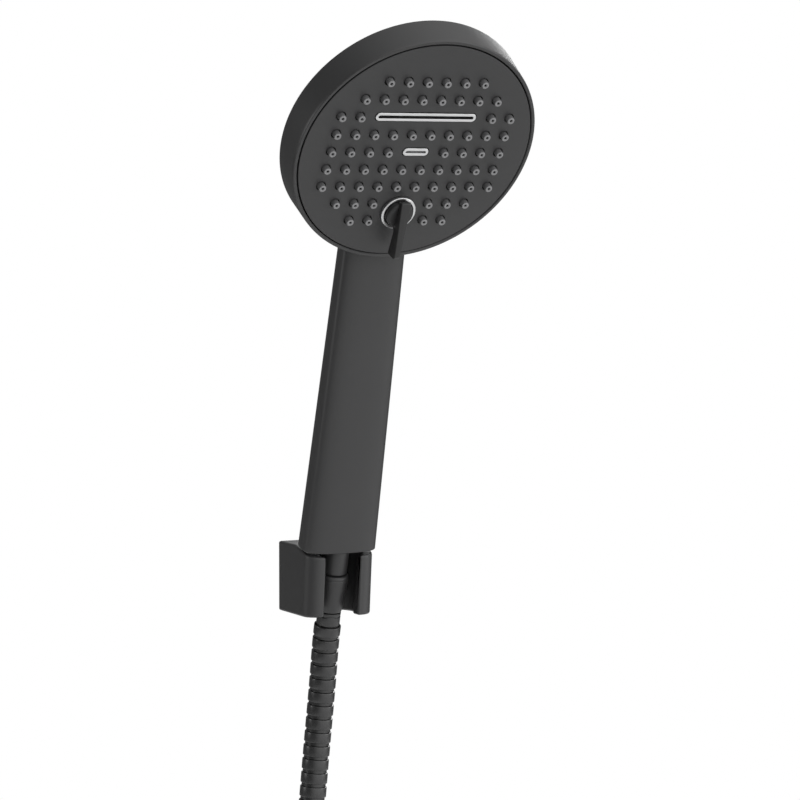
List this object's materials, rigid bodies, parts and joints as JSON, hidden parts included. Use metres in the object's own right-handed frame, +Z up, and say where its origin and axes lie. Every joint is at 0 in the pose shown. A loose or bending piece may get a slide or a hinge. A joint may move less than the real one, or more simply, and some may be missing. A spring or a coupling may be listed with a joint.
{
  "type": "handheld shower head",
  "caption": "Handheld shower head with a round spray face, spray selector lever and straight handle, held in a slotted wall bracket, with a metal hose.",
  "frame": {"origin": "middle of the wall bracket's flat back face, on the wall plane", "axes": "+Z up, +Y into the wall, -Y out into the room, +X to the right seen from the room; x = 0 is the plane of symmetry"},
  "size_m": [0.1566, 0.1722, 0.6069],
  "materials": {
    "black_abs": "satin black moulding",
    "inner_plastic": "plain inner moulding",
    "nozzle_silicone": "grey silicone",
    "satin_plate": "satin plated",
    "black_rubber": "matt rubber",
    "black_metal": "black coated brass",
    "hose_metal": "black coated steel strip over a plastic liner",
    "screw_steel": "stainless steel",
    "plug_nylon": "grey nylon"
  },
  "bodies": {
    "bracket": {"wall_bracket": "black_abs", "wall_screw_upper": "screw_steel", "wall_screw_lower": "screw_steel", "wall_plug_upper": "plug_nylon", "wall_plug_lower": "plug_nylon"},
    "diverter": {"diverter_lever": "black_abs", "knob_ring": "satin_plate", "diverter_rotor": "inner_plastic", "port_seal": "black_rubber", "lever_screw": "screw_steel"},
    "cone_nut": {"cone_nut": "black_abs"},
    "hex_nut": {"hex_nut": "black_metal"},
    "handset": {"coil_tie_bottom": "black_rubber", "coil_tie_top": "black_rubber", "divider_screw_1": "screw_steel", "divider_screw_2": "screw_steel", "divider_screw_3": "screw_steel", "divider_seal": "black_rubber", "end_washer": "black_rubber", "face_plate": "black_abs", "filter_washer": "black_rubber", "flow_limiter": "nozzle_silicone", "handset_shell": "black_abs", "hose_coil": "hose_metal", "hose_end_tube": "hose_metal", "hose_tail_lower": "black_metal", "hose_tail_upper": "black_metal", "hose_tube": "hose_metal", "inlet_neck": "black_abs", "long_slot_insert": "satin_plate", "neck_seal": "black_rubber", "nozzle_mat": "nozzle_silicone", "shaft_seal": "black_rubber", "short_slot_insert": "satin_plate", "water_divider": "inner_plastic", "water_tube": "inner_plastic"}
  },
  "joints": [
    {"name": "handset_lift", "type": "slide", "parent": "bracket", "child": "handset", "axis": [0, -0.26, 0.9656], "range_m": [0, 0.05]},
    {"name": "lever_turn", "type": "hinge", "parent": "handset", "child": "diverter", "pos_m": [0, -0.09899, 0.17912], "axis": [0, -0.8205, -0.5717], "range_deg": [-36, 36]},
    {"name": "cone_nut_spin", "type": "hinge", "parent": "handset", "child": "cone_nut", "pos_m": [0, -0.02356, -0.00637], "axis": [0, -0.26, 0.9656], "continuous": true},
    {"name": "hex_nut_spin", "type": "hinge", "parent": "handset", "child": "hex_nut", "pos_m": [-0.069, -0.0518, -0.334], "axis": [0, 0, 1], "continuous": true}
  ]
}
